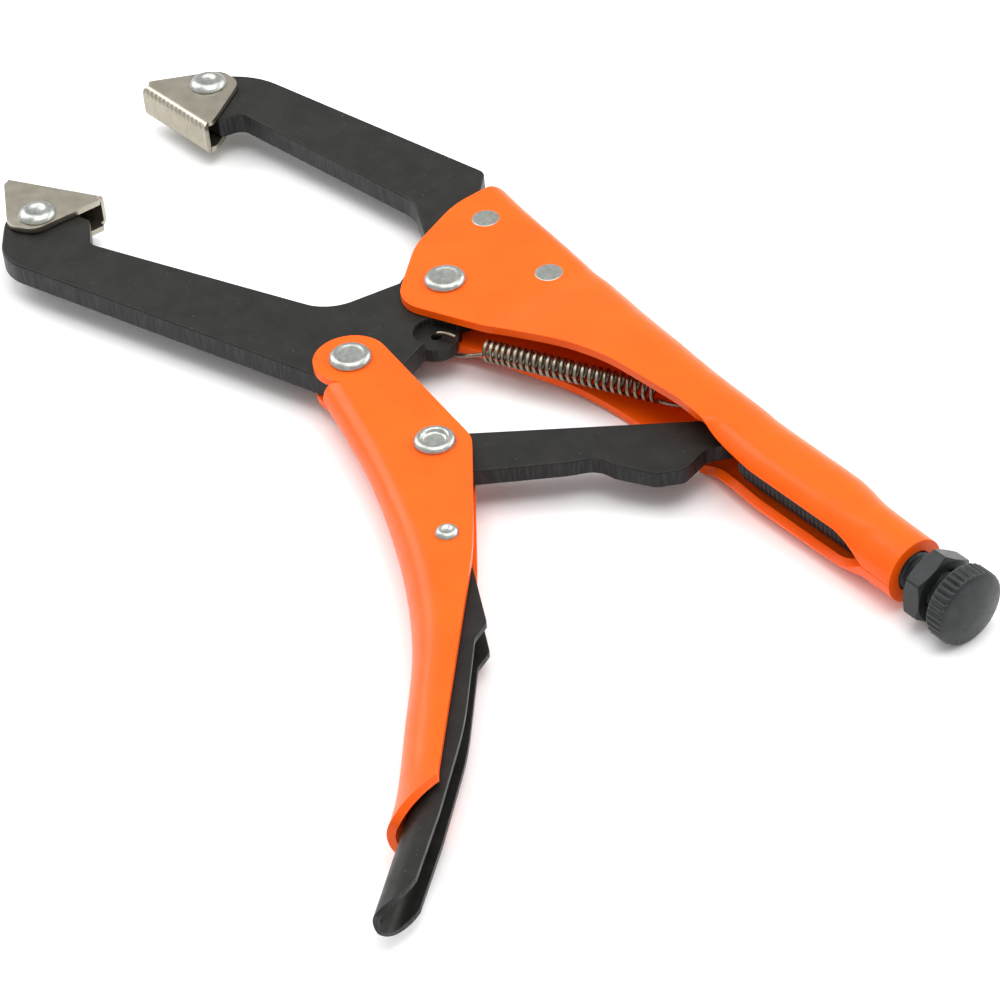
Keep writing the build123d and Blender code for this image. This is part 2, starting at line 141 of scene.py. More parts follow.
# ------------------------------------------------------------------ meshes
def quads(columns, rows, wrap_columns=False, wrap_rows=False, first=0):
    """Faces of a grid of points stored column by column."""
    faces = []
    for i in range(columns if wrap_columns else columns - 1):
        for j in range(rows if wrap_rows else rows - 1):
            a, b = i * rows, (i + 1) % columns * rows
            k = (j + 1) % rows
            faces.append((first + a + j, first + b + j, first + b + k, first + a + k))
    return faces


def build(name, shells, look, body, stands_for, bevel=0.0, bevel_angle=50.0):
    """A piece from (points in mm, faces) shells, riding on its body and standing for its CAD node."""
    points, faces = [], []
    for shell_points, shell_faces in shells:
        start = len(points)
        points += (np.asarray(shell_points) * MM + PIVOT).tolist()
        faces += [tuple(start + i for i in face) for face in shell_faces]
    mesh = bpy.data.meshes.new(name)
    mesh.from_pydata(points, [], faces)
    mesh.validate()
    mesh.update()
    piece = bpy.data.objects.new(name, mesh)
    bpy.context.scene.collection.objects.link(piece)
    bpy.context.view_layer.objects.active = piece
    piece.select_set(True)
    bpy.ops.object.mode_set(mode="EDIT")
    bpy.ops.mesh.select_all(action="SELECT")
    bpy.ops.mesh.normals_make_consistent(inside=False)
    bpy.ops.object.mode_set(mode="OBJECT")
    piece.select_set(False)
    mesh.polygons.foreach_set("use_smooth", [True] * len(mesh.polygons))
    mesh.materials.append(look)
    if bevel:
        cut = piece.modifiers.new("rounded edges", "BEVEL")
        cut.width = bevel * MM
        cut.segments = 3
        cut.limit_method = "ANGLE"
        cut.angle_limit = math.radians(bevel_angle)
        cut.use_clamp_overlap = True
        flat = piece.modifiers.new("flat faces", "WEIGHTED_NORMAL")
        flat.weight = 60
    else:
        mesh.set_sharp_from_angle(angle=math.radians(38))
    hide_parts(stands_for)
    if body:
        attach(piece, body)
    return piece


def mirrored(half):
    """A grid whose rows end on the mid plane, doubled across it."""
    other = half[:, ::-1][:, 1:] * np.array([1, 1, -1])
    return np.concatenate([half, other], 1)


def thick_sheet(outer, thickness):
    """A closed shell: the outer surface, the inner one thickness below it, and the rim between."""
    across = np.gradient(outer, axis=1)
    along = np.gradient(outer, axis=0)
    normal = np.cross(along, across)
    normal /= np.linalg.norm(normal, axis=2)[..., None] + 1e-12
    spine = outer.shape[1] // 2
    away = outer[:, spine] - outer[:, 0]
    away[:, 2] = 0
    if np.sum(away * normal[:, spine]) < 0:
        normal = -normal
    inner = outer - normal * thickness[..., None]
    columns, rows = outer.shape[:2]
    points = np.concatenate([outer.reshape(-1, 3), inner.reshape(-1, 3)])
    below = columns * rows
    faces = quads(columns, rows)
    faces += [tuple(below + i for i in face[::-1]) for face in quads(columns, rows)]
    for i in range(columns - 1):
        a, b = i * rows, (i + 1) * rows
        faces.append((a, below + a, below + b, b))
        a, b = a + rows - 1, b + rows - 1
        faces.append((a, b, below + b, below + a))
    last = (columns - 1) * rows
    for j in range(rows - 1):
        faces.append((j, j + 1, below + j + 1, below + j))
        faces.append((last + j, below + last + j, below + last + j + 1, last + j + 1))
    return points, faces


def revolved(profile, segments, origin, axis, wobble=None):
    """A closed turned solid. The profile is (distance along the axis, radius) from end to end."""
    profile = np.asarray(profile, float)
    axis = np.asarray(axis, float)
    side = np.array([0.0, 0.0, 1.0]) if abs(axis[2]) < 0.5 else np.array([1.0, 0.0, 0.0])
    other = np.cross(axis, side)
    angles = np.linspace(0, 2 * math.pi, segments, endpoint=False)
    ring = np.cos(angles)[:, None] * side + np.sin(angles)[:, None] * other
    along, radius = profile[1:-1, 0], profile[1:-1, 1]
    radii = np.tile(radius, (segments, 1))
    if wobble is not None:
        radii = radii + wobble(angles[:, None], along[None])
    body = origin + along[None, :, None] * axis + radii[..., None] * ring[:, None]
    rows = len(along)
    points = body.reshape(-1, 3).tolist()
    faces = quads(segments, rows, wrap_columns=True)
    for end, row in ((0, 0), (-1, rows - 1)):
        points.append((origin + profile[end, 0] * axis).tolist())
        tip = len(points) - 1
        for i in range(segments):
            faces.append((i * rows + row, (i + 1) % segments * rows + row, tip))
    return np.array(points), faces


def tube(path, radius, segments=10):
    """A round wire along a path."""
    path = np.asarray(path, float)
    run = np.gradient(path, axis=0)
    run /= np.linalg.norm(run, axis=1)[:, None]
    side = np.cross(run[0], [0, 0, 1.0])
    if np.linalg.norm(side) < 0.1:
        side = np.cross(run[0], [1.0, 0, 0])
    rings = []
    angles = np.linspace(0, 2 * math.pi, segments, endpoint=False)
    for point, way in zip(path, run):
        side = side - way * (side @ way)
        side /= np.linalg.norm(side)
        up = np.cross(way, side)
        rings.append(point + radius * (np.cos(angles)[:, None] * side + np.sin(angles)[:, None] * up))
    points = np.array(rings).reshape(-1, 3).tolist()
    faces = quads(len(path), segments, wrap_rows=True)
    faces.append(tuple(range(segments)))
    faces.append(tuple(range(len(points) - segments, len(points))))
    return np.array(points), faces


def ring_plate(outer, inner, low, high):
    """A flat plate between two outlines of equally many points."""
    count = len(outer)
    points = [(x, y, z) for z in (low, high) for x, y in (*outer, *inner)]
    faces = []
    for i in range(count):
        k = (i + 1) % count
        faces.append((i, k, count + k, count + i))
        faces.append((2 * count + i, 3 * count + i, 3 * count + k, 2 * count + k))
        faces.append((i, 2 * count + i, 2 * count + k, k))
        faces.append((count + i, count + k, 3 * count + k, 3 * count + i))
    return np.array(points), faces


# ------------------------------------------------------------------ materials
class Look:
    """A procedural material round one Principled shader."""

    def __init__(self, name, color, roughness, metallic=0.0, coat=0.0, specular=0.5):
        self.material = bpy.data.materials.new(name)
        self.material.use_nodes = True
        self.tree = self.material.node_tree
        self.shader = self.tree.nodes["Principled BSDF"]
        self.set("Base Color", (*color, 1))
        self.set("Roughness", roughness)
        self.set("Metallic", metallic)
        self.set("Specular IOR Level", specular)
        self.set("Coat Weight", coat)
        self.set("Coat Roughness", 0.06)
        self.where = self.node("ShaderNodeTexCoord").outputs["Object"]

    def set(self, socket, value):
        self.shader.inputs[socket].default_value = value

    def node(self, kind, values=None, **properties):
        made = self.tree.nodes.new(kind)
        for key, value in properties.items():
            setattr(made, key, value)
        for key, value in (values or {}).items():
            if isinstance(value, bpy.types.NodeSocket):
                self.tree.links.new(value, made.inputs[key])
            else:
                made.inputs[key].default_value = value
        return made

    def noise(self, size, detail=3.0, stretch=(1, 1, 1), rough=0.5):
        """Noise whose features are about size millimetres, drawn out by stretch."""
        scale = tuple(1 / (size * MM * s) for s in stretch)
        spread = self.node("ShaderNodeMapping", {"Vector": self.where, "Scale": scale})
        values = {"Vector": spread.outputs[0], "Scale": 1.0, "Detail": detail, "Roughness": rough}
        return self.node("ShaderNodeTexNoise", values).outputs["Fac"]

    def span(self, value, low, high, to_low, to_high):
        """value from low..high to to_low..to_high, held at the ends."""
        values = {"Value": value, "From Min": low, "From Max": high, "To Min": to_low, "To Max": to_high}
        return self.node("ShaderNodeMapRange", values).outputs["Result"]

    def math(self, operation, a, b):
        return self.node("ShaderNodeMath", {0: a, 1: b}, operation=operation).outputs[0]

    def blend(self, share, a, b):
        made = self.node("ShaderNodeMix", {"Factor": share}, data_type="RGBA")
        for name, value in (("A", a), ("B", b)):
            socket = [s for s in made.inputs if s.name == name and s.type == "RGBA"][0]
            if isinstance(value, bpy.types.NodeSocket):
                self.tree.links.new(value, socket)
            else:
                socket.default_value = (*value, 1)
        return [s for s in made.outputs if s.type == "RGBA"][0]

    def mottle(self, size, detail, limits, first, second):
        """Colour that drifts between two tones, in patches of about size millimetres."""
        share = self.span(self.noise(size, detail), *limits, 0, 1)
        return self.blend(share, first, second)

    def edges(self, radius, low=0.03, high=0.25):
        """1 on the sharp outer edges of the piece, 0 on its faces."""
        round_normal = self.node("ShaderNodeBevel", {"Radius": radius * MM}, samples=6).outputs[0]
        true_normal = self.node("ShaderNodeNewGeometry").outputs["Normal"]
        made = self.node("ShaderNodeVectorMath", {0: round_normal, 1: true_normal}, operation="DOT_PRODUCT")
        return self.span(self.math("SUBTRACT", 1.0, made.outputs["Value"]), low, high, 0.0, 1.0)

    def side(self):
        """1 on walls that stand across the tool, 0 on its flat faces."""
        normal = self.node("ShaderNodeNewGeometry").outputs["Normal"]
        up = self.node("ShaderNodeSeparateXYZ", {0: normal}).outputs["Z"]
        return self.span(self.math("ABSOLUTE", up, 0.0), 0.12, 0.35, 1.0, 0.0)

    def color(self, value):
        self.tree.links.new(value, self.shader.inputs["Base Color"])

    def rough(self, value):
        self.tree.links.new(value, self.shader.inputs["Roughness"])

    def bump(self, *layers):
        """Bump from (height 0..1, depth in millimetres) layers."""
        normal = None
        for height, depth in layers:
            made = self.node("ShaderNodeBump", {"Height": height, "Distance": depth * MM, "Strength": 1.0})
            if normal is not None:
                self.tree.links.new(normal, made.inputs["Normal"])
            normal = made.outputs["Normal"]
        self.tree.links.new(normal, self.shader.inputs["Normal"])


def orange_paint():
    look = Look("orange paint", (0.95, 0.11, 0.002), 0.38, coat=0.08, specular=0.18)
    shade = look.mottle(14, 3.0, (0.35, 0.65), (0.96, 0.112, 0.0025), (0.93, 0.100, 0.0015))
    speck = look.math("GREATER_THAN", look.noise(0.9, 2.0), 0.745)
    shade = look.blend(look.math("MULTIPLY", speck, 0.35), shade, (0.62, 0.085, 0.008))
    chipped = look.span(look.noise(2.2, 4.0), 0.55, 0.66, 0, 1)
    worn = look.math("MULTIPLY", look.edges(0.5, 0.1, 0.4), chipped)
    look.color(look.blend(look.math("MULTIPLY", worn, 0.55), shade, (0.80, 0.42, 0.20)))
    look.rough(look.span(look.noise(6), 0.3, 0.7, 0.32, 0.42))
    look.bump((look.noise(1.6, 2.0), 0.018), (look.noise(9.0, 1.0), 0.05))
    return look.material


def black_steel():
    look = Look("black phosphated steel", (0.012, 0.012, 0.011), 0.42, specular=0.22)
    faces = look.mottle(5, 5.0, (0.3, 0.7), (0.0085, 0.0085, 0.0075), (0.0155, 0.0150, 0.0130))
    sheared = look.noise(0.5, 3.0, stretch=(1, 1, 14))
    walls = look.blend(look.span(sheared, 0.42, 0.68, 0, 1), (0.010, 0.0105, 0.0105), (0.030, 0.031, 0.031))
    tone = look.blend(look.side(), faces, walls)
    rubbed = look.span(look.noise(3.0, 5.0), 0.42, 0.62, 0.12, 1)
    worn = look.math("MULTIPLY", look.edges(0.4, 0.04, 0.35), rubbed)
    tone = look.blend(look.math("MULTIPLY", worn, 0.5), tone, (0.15, 0.15, 0.145))
    speck = look.math("GREATER_THAN", look.noise(0.8, 2.0), 0.735)
    look.color(look.blend(look.math("MULTIPLY", speck, 0.55), tone, (0.09, 0.085, 0.075)))
    look.rough(look.span(look.noise(3, 4.0), 0.3, 0.7, 0.36, 0.5))
    wall_grain = look.math("MULTIPLY", sheared, look.side())
    look.bump((look.noise(0.6, 3.0), 0.012), (wall_grain, 0.06))
    return look.material


def nickel():
    look = Look("nickel plate", (0.42, 0.39, 0.32), 0.33, metallic=1.0)
    grain = look.noise(0.25, 3.0, stretch=(18, 18, 1))
    tone = look.mottle(4, 3.0, (0.3, 0.7), (0.44, 0.405, 0.335), (0.37, 0.34, 0.275))
    worn = look.math("MULTIPLY", look.edges(0.35), look.span(look.noise(1.5), 0.4, 0.6, 0.2, 1))
    look.color(look.blend(worn, tone, (0.66, 0.64, 0.57)))
    look.rough(look.span(grain, 0.3, 0.7, 0.26, 0.40))
    look.bump((grain, 0.01), (look.noise(3.0, 2.0), 0.03))
    return look.material


def zinc():
    look = Look("zinc plate", (0.40, 0.415, 0.39), 0.36, metallic=1.0)
    look.color(look.mottle(1.2, 5.0, (0.3, 0.7), (0.33, 0.345, 0.32), (0.47, 0.485, 0.455)))
    look.rough(look.span(look.noise(0.8, 4.0), 0.3, 0.7, 0.28, 0.44))
    look.bump((look.noise(0.5, 3.0), 0.014))
    return look.material


def spring_steel():
    look = Look("spring steel", (0.26, 0.24, 0.19), 0.3, metallic=1.0)
    look.color(look.mottle(2.5, 3.0, (0.35, 0.65), (0.31, 0.285, 0.22), (0.20, 0.18, 0.14)))
    look.rough(look.span(look.noise(0.7), 0.3, 0.7, 0.24, 0.38))
    look.bump((look.noise(0.4), 0.006))
    return look.material


def black_oxide():
    look = Look("black oxide", (0.014, 0.017, 0.0175), 0.34, specular=0.35)
    tone = look.mottle(2.5, 4.0, (0.3, 0.7), (0.010, 0.0125, 0.0130), (0.021, 0.025, 0.0255))
    rubbed = look.span(look.noise(1.2, 3.0), 0.4, 0.6, 0.1, 1)
    worn = look.math("MULTIPLY", look.edges(0.3, 0.06, 0.4), rubbed)
    look.color(look.blend(look.math("MULTIPLY", worn, 0.6), tone, (0.24, 0.24, 0.22)))
    look.rough(look.span(look.noise(1.0, 4.0), 0.3, 0.7, 0.3, 0.46))
    look.bump((look.noise(0.5, 3.0), 0.014))
    return look.material


ORANGE = orange_paint()
BLACK = black_steel()
NICKEL = nickel()
ZINC = zinc()
SPRING = spring_steel()
OXIDE = black_oxide()

# ------------------------------------------------------------------ channel-shaped stampings
CHEEK_ROWS = 20
BEND_ROWS = 13


def bend(crease, half):
    """Half of the rounded back, from the crease at z = half to the top of the spine."""
    turn = np.linspace(0, math.pi / 2, BEND_ROWS)[1:]
    x = np.full(len(turn), crease[0])
    return np.column_stack([x, crease[1] + half * np.sin(turn), half * np.cos(turn)])


# ------------------------------------------------------------------ fixed handle
SHEET = 2.2
SPINE = [(-30, 33.1), (-20, 31.7), (-10, 30.4), (0, 29.2), (10, 28.0), (19, 26.7), (28, 24.9), (45, 21.0)]
SPINE += [(62, 18.2), (78, 16.6), (95, 15.7), (100, 15.3), (128, 14.7), (140, 13.4), (156, 12.9)]
HANDLE_HALF = [(-30, 5.35), (10, 5.35), (19.5, 5.35), (28, 6.3), (45, 7.9), (62, 8.9), (78, 9.0)]
HANDLE_HALF += [(95, 8.9), (100, 8.8), (128, 8.8), (140, 8.2), (156, 8.0)]
LIP_HALF = [(87, 9.0), (89.5, 8.4), (92, 6.9), (94.5, 5.9), (100, 5.1), (108, 4.8), (136, 4.8)]
LIP_HALF += [(140, 3.9), (143, 2.2), (145.5, 0.5), (147, 0.06), (156, 0.06)]
LIP_RADIUS = [(80, 5.0), (136, 5.5), (146, 8.0), (156, 8.0)]
HANDLE_WALL = [(120, SHEET), (137, SHEET), (145, 2.95), (156, 2.95)]
HANDLE_FRONT = -24.5
HANDLE_END = 155.5
LIP_START = 86                 # from here on the sections follow each other more closely
PATCH_END = 14.0
PATCH_COLUMNS = 34
CORNER_LEAN = 0.12             # how strongly the front end of the spine is rounded back
CORNER_RUN = 14
handle_edge = rounded(
    [
        (-25.0, 38.6, 0),
        (-24.3, 21.5, 25),
        (-17.3, 3.8, 25),
        (-1.6, -14.4, 9),
        (47.5, 6.4, 70),
        (80.0, 8.3, 40),
        (91.0, 7.4, 20),
        (108.0, 5.6, 40),
        (136.0, 5.5, 40),
        (147.0, 5.1, 20),
        (157.0, 4.9, 0),
    ]
)


def handle_section(x):
    """Half of the handle's cross section at x, from its lip to the top of the spine."""
    yc, half = smooth(x, SPINE), smooth(x, HANDLE_HALF)
    lower = handle_edge[np.argmin(handle_edge[:, 1]) :]
    lip_y = np.interp(x, lower[:, 0], lower[:, 1])
    lip_z = min(float(smooth(x, LIP_HALF)), float(half))
    radius = max(float(smooth(x, LIP_RADIUS)), float(half - lip_z))
    curl = math.acos(np.clip(1 - (half - lip_z) / radius, 0, 1))
    start = min(lip_y + radius * math.sin(curl), yc - 0.05)
    turn = np.linspace(curl, 0, 24)
    arc = np.column_stack([start - radius * np.sin(turn), half - radius * (1 - np.cos(turn))])
    wall = even(np.vstack([arc, [[yc, half]]]), CHEEK_ROWS)
    cheek = np.column_stack([np.full(CHEEK_ROWS, x), wall])
    return np.vstack([cheek, bend((x, yc), half)])


def handle_grid():
    turned = int(np.argmin(handle_edge[:, 1]))
    front = handle_edge[: turned - 5]
    under = handle_edge[turned - 6 :]
    crease_y = float(smooth(HANDLE_FRONT, SPINE))
    left = np.vstack([[HANDLE_FRONT, crease_y], front[front[:, 1] < crease_y]])[::-1]
    low = under[under[:, 0] < PATCH_END]
    low = np.vstack([low, [[PATCH_END, np.interp(PATCH_END, under[:, 0], under[:, 1])]]])
    xs = np.linspace(HANDLE_FRONT, PATCH_END, PATCH_COLUMNS)
    high = np.column_stack([xs, smooth(xs, SPINE)])
    section = handle_section(PATCH_END)
    left = even(np.vstack([[low[0]], left[1:]]), CHEEK_ROWS)
    plan = coons(even(low, PATCH_COLUMNS), high, left, section[:CHEEK_ROWS, :2])
    half = smooth(plan[..., 0], HANDLE_HALF)
    cheeks = np.dstack([plan, half])
    grid = []
    for i, x in enumerate(xs):
        back = bend(high[i], float(smooth(x, HANDLE_HALF)))
        # the front end of the spine, with its corner rounded
        rise = back[:, 1] - high[i, 1]
        lean = CORNER_LEAN * np.maximum(rise - 0.5, 0) ** 2
        back[:, 0] += lean * max(0.0, 1 - (x - HANDLE_FRONT) / CORNER_RUN) ** 2
        grid.append(np.vstack([cheeks[i], back]))
    front_part = np.arange(PATCH_END + 1.2, LIP_START, 1.3)
    rear_part = np.arange(LIP_START, HANDLE_END, 0.8)
    for x in np.concatenate([front_part, rear_part, [HANDLE_END]]):
        grid.append(handle_section(x))
    return mirrored(np.array(grid))


TAB_HOLE = (75.0, 17.0)
TAB_HOLE_RADIUS = 1.2
TAB_WIDTH = 5.0
TAB_HEIGHT = 9.6
TAB_RISE = 3                   # the middle of the tab above its hole
TAB_THICKNESS = 1.8


def spring_tab():
    """The tab inside the handle that holds the rear hook of the spring, with its hole."""
    hole, edge = [], []
    for angle in np.linspace(0, 2 * math.pi, 24, endpoint=False):
        x, y = math.cos(angle), math.sin(angle)
        hole.append((TAB_HOLE[0] + TAB_HOLE_RADIUS * x, TAB_HOLE[1] + TAB_HOLE_RADIUS * y))
        # a circle too large for the tab, held to its four sides, gives its square outline
        wide, tall = max(-1, min(1, 1.5 * x)), max(-1, min(1, 1.5 * y))
        edge.append((TAB_HOLE[0] + TAB_WIDTH / 2 * wide, TAB_HOLE[1] + TAB_RISE + TAB_HEIGHT / 2 * tall))
    return ring_plate(edge, hole, -TAB_THICKNESS / 2, TAB_THICKNESS / 2)


handle = handle_grid()
handle_thickness = smooth(handle[..., 0], HANDLE_WALL)
build(
    "fixed_handle",
    [thick_sheet(handle, handle_thickness), spring_tab()],
    ORANGE,
    "handle",
    "handle_shell",
    bevel=0.45,
)


# ------------------------------------------------------------------ channels along a curved run
class Run:
    """The line that a folded channel follows, through (x, y, half width) stations."""

    def __init__(self, stations, side):
        points = np.array([s[:2] for s in stations], float)
        steps = np.linalg.norm(np.diff(points, axis=0), axis=1)
        at = np.concatenate([[0], np.cumsum(steps)])
        self.length = at[-1]
        self.x = list(zip(at, points[:, 0]))
        self.y = list(zip(at, points[:, 1]))
        self.half = list(zip(at, [s[2] for s in stations]))
        self.side = side
        u = np.linspace(0, self.length, 600)
        line = np.column_stack([smooth(u, self.x), smooth(u, self.y)])
        heading = np.unwrap(np.arctan2(*np.gradient(line, axis=0).T[::-1]))
        kernel = np.ones(61) / 61
        padded = np.concatenate([np.full(30, heading[0]), heading, np.full(30, heading[-1])])
        self.u, self.heading = u, np.convolve(padded, kernel, mode="valid")
        self.line = line

    def at(self, u):
        """Centre, run direction, opening direction and half width at u."""
        turn = np.interp(u, self.u, self.heading)
        way = np.array([math.cos(turn), math.sin(turn)])
        opening = self.side * np.array([-way[1], way[0]])
        middle = np.array([np.interp(u, self.u, self.line[:, 0]), np.interp(u, self.u, self.line[:, 1])])
        if u > self.length:
            middle = middle + way * (u - self.length)
        return middle, way, opening, float(smooth(u, self.half))

    def find(self, point):
        """How far along the run a point lies, and how far it stands off it."""
        k = int(np.argmin(np.linalg.norm(self.line - np.asarray(point), axis=1)))
        middle, way, opening, _ = self.at(self.u[k])
        off = np.asarray(point) - middle
        return self.u[k] + off @ way, off @ opening

    def depth(self, u, outline):
        """From the run to an outline, measured along the opening direction."""
        middle, way, opening, _ = self.at(u)
        off = outline - middle
        along, up = off @ way, off @ opening
        cross = np.nonzero((along[:-1] <= 0) & (along[1:] > 0))[0]
        if len(cross) == 0:
            return up[np.argmin(np.abs(along))]
        i = cross[0]
        t = -along[i] / (along[i + 1] - along[i])
        return up[i] + t * (up[i + 1] - up[i])


def channel_column(run, u, outline, end_shift, weight, flare=0.0):
    """One half cross section of a channel. end_shift(height) moves its points along the run."""
    middle, way, opening, half = run.at(u)
    half = half + flare
    depth = run.depth(min(u, run.length), outline)
    heights = np.linspace(depth, 0, CHEEK_ROWS)
    turn = np.linspace(0, math.pi / 2, BEND_ROWS)[1:]
    heights = np.concatenate([heights, -half * np.sin(turn)])
    z = np.concatenate([np.full(CHEEK_ROWS, half), half * np.cos(turn)])
    rows = []
    for height, across in zip(heights, z):
        if weight > 0:
            moved, _, out, _ = run.at(u + weight * end_shift(height))
            rows.append((*(moved + out * height), across))
        else:
            rows.append((*(middle + opening * height), across))
    return np.array(rows)


# ------------------------------------------------------------------ lever
LEVER_SHEET = 2.0
LEVER_RUN = [(13.4, -42.4, 5.2), (27.2, -46.5, 5.2), (42.5, -51.4, 5.25), (57.9, -57.1, 5.7)]
LEVER_RUN += [(73.6, -63.4, 6.7), (89.1, -71.2, 7.4), (104.7, -81.3, 7.8), (124.7, -98.5, 8.0)]
LEVER_RUN += [(142.9, -115.0, 8.0), (154, -126.2, 8.0)]
lever_run = Run(LEVER_RUN, 1)
LEVER_BOSS = 9.3
lever_pivot = place_of("lever_pivot_rivet")[:2]
LEVER_CORNER = (141.2, -111.6)
LEVER_TIP = (142.2, -125.2)
LEVER_PATCH = 27.0
LEVER_PATCH_COLUMNS = 30
LEVER_END_RUN = 26             # the sections turn from square to slanting over this length
LEVER_FLARE = 0.9              # how far each cheek opens outwards at the end
LEVER_FLARE_RUN = 9
lever_edge = rounded(
    [(10.6, -27.15, 0), (53.5, -33.5, 10), (87.0, -59.3, 150), (*LEVER_CORNER, 0), (152.0, -122.0, 0)]
)


def end_of(run, corner, tip, middle):
    """Where the end of a channel lies along its run, by height, relative to middle."""
    corner_u, corner_h = run.find(corner)
    tip_u, tip_h = run.find(tip)

    def shift(height):
        share = np.clip((corner_h - height) / (corner_h - tip_h), 0, 1)
        return corner_u + (tip_u - corner_u) * share - middle

    return shift


def lever_grid():
    flat_end = lever_run.find(LEVER_CORNER)[0]
    shift = end_of(lever_run, LEVER_CORNER, LEVER_TIP, flat_end)
    first, _, _, half = lever_run.at(0.0)
    patch = channel_column(lever_run, LEVER_PATCH, lever_edge, shift, 0)
    way = lever_run.at(LEVER_PATCH)[1]
    stop = int(np.argmax(lever_edge @ way > patch[0, :2] @ way))
    low = even(np.vstack([lever_edge[:stop], patch[:1, :2]]), LEVER_PATCH_COLUMNS)
    us = np.linspace(0.0, LEVER_PATCH, LEVER_PATCH_COLUMNS)
    high = np.array([lever_run.at(u)[0] for u in us])
    angles = np.radians(np.linspace(80, 194, 30))
    left = lever_pivot + LEVER_BOSS * np.column_stack([np.cos(angles), np.sin(angles)])
    left = even(np.vstack([[low[0]], left[1:], [first]]), CHEEK_ROWS)
    plan = coons(low, high, left, patch[:CHEEK_ROWS, :2])
    grid = []
    for i, u in enumerate(us):
        cheek = np.column_stack([plan[i], np.full(CHEEK_ROWS, half)])
        grid.append(np.vstack([cheek, channel_column(lever_run, u, lever_edge, shift, 0)[CHEEK_ROWS:]]))
    for u in np.linspace(LEVER_PATCH, flat_end, 104)[1:]:
        weight = np.clip((u - flat_end + LEVER_END_RUN) / LEVER_END_RUN, 0, 1) ** 2
        flare = LEVER_FLARE * np.clip((u - flat_end + LEVER_FLARE_RUN) / LEVER_FLARE_RUN, 0, 1) ** 2.2
        grid.append(channel_column(lever_run, u, lever_edge, shift, weight, flare))
    return mirrored(np.array(grid))


def ear(low, high):
    """The round ear of one cheek about the lever's pivot, between two heights."""
    profile = [(low, 0), (low, LEVER_BOSS - 0.02), (high, LEVER_BOSS - 0.02), (high, 0)]
    return revolved(profile, 120, np.array([*lever_pivot, 0.0]), (0.0, 0.0, 1.0))


lever = lever_grid()
# each ear lies 0.02 mm inside both faces of its cheek
EAR_TOP = 5.18
EAR_FLOOR = EAR_TOP - LEVER_SHEET + 0.04
build(
    "lever",
    [
        thick_sheet(lever, np.full(lever.shape[:2], LEVER_SHEET)),
        ear(EAR_FLOOR, EAR_TOP),
        ear(-EAR_TOP, -EAR_FLOOR),
    ],
    ORANGE,
    "lever",
    "lever_shell",
    bevel=0.45,
)

# ------------------------------------------------------------------ release lever
RELEASE_SHEET = 1.5
RELEASE_RUN = [(73.6, -62.4, 4.2), (89.1, -71.2, 4.7), (104.7, -81.3, 5.2), (124.7, -98.5, 5.3)]
RELEASE_RUN += [(142.8, -114.7, 5.3), (153.2, -127.1, 5.4), (166.0, -143.0, 5.4)]
release_run = Run(RELEASE_RUN, 1)
RELEASE_CORNER = (159.3, -131.3)
RELEASE_END_RUN = 22
release_edge = rounded(
    [
        (70.0, -52.5, 0),
        (76.5, -54.6, 4),
        (107.6, -71.8, 1.6),
        (109.8, -77.0, 3),
        (130.0, -95.7, 120),
        (147.3, -116.0, 120),
        (*RELEASE_CORNER, 0),
        (172.0, -147.0, 0),
    ]
)
# how far the rounded tail reaches past that corner, by height above the run
TAIL = [(-5.4, 9.2), (-4.6, 9.4), (-3.8, 9.0), (-2.0, 7.6), (0.0, 5.0), (1.5, 2.0), (2.1, 0.0)]


def release_grid():
    flat_end = release_run.find(RELEASE_CORNER)[0]

    def shift(height):
        return float(smooth(height, TAIL))

    grid = []
    for u in np.linspace(0, flat_end, 130):
        weight = np.clip((u - flat_end + RELEASE_END_RUN) / RELEASE_END_RUN, 0, 1) ** 2
        grid.append(channel_column(release_run, u, release_edge, shift, weight))
    return mirrored(np.array(grid))


release = release_grid()
build(
    "release_trigger",
    [thick_sheet(release, np.full(release.shape[:2], RELEASE_SHEET))],
    BLACK,
    "release",
    "release_lever",
    bevel=0.35,
)

# ------------------------------------------------------------------ adjusting screw and lock nut
SCREW_AXIS = (1.0, 0.0, 0.0)
screw_low, screw_high = extent_of("adjusting_screw")
screw_y = place_of("adjusting_screw")[1]
screw_line = np.array([0.0, screw_y, 0.0])
THREAD_PITCH = 1.5
THREAD_RADIUS = 4.95
THREAD_DEPTH = 0.85
KNURLS = 34
KNURL_DEPTH = 0.5
knob_start = screw_high[0] - 7.2
knob_rim = screw_high[0] - 1.8
knob_radius = (screw_high[2] - screw_low[2]) / 2
face_radius = knob_radius - 0.75
thread_end = knob_start - 2.6


def thread(angles, along):
    """A pointed helical groove, fading out at both ends of the thread."""
    turn = (along / THREAD_PITCH - angles / (2 * math.pi)) % 1.0
    groove = np.clip(1.15 * (1 - np.abs(2 * turn - 1)) - 0.08, 0, 1)
    fade = np.clip((along - screw_low[0]) / 1.5, 0, 1) * np.clip((thread_end - along) / 1.2, 0, 1)
    return -THREAD_DEPTH * groove * fade


def knurl(angles, along):
    """Straight coarse knurling round the rim of the knob."""
    ridge = np.abs(np.sin(angles * KNURLS / 2)) ** 0.7
    reach = np.clip((along - knob_start - 0.2) / 0.5, 0, 1) * np.clip((knob_rim - 0.25 - along) / 0.6, 0, 1)
    return -KNURL_DEPTH * (1 - ridge) * reach


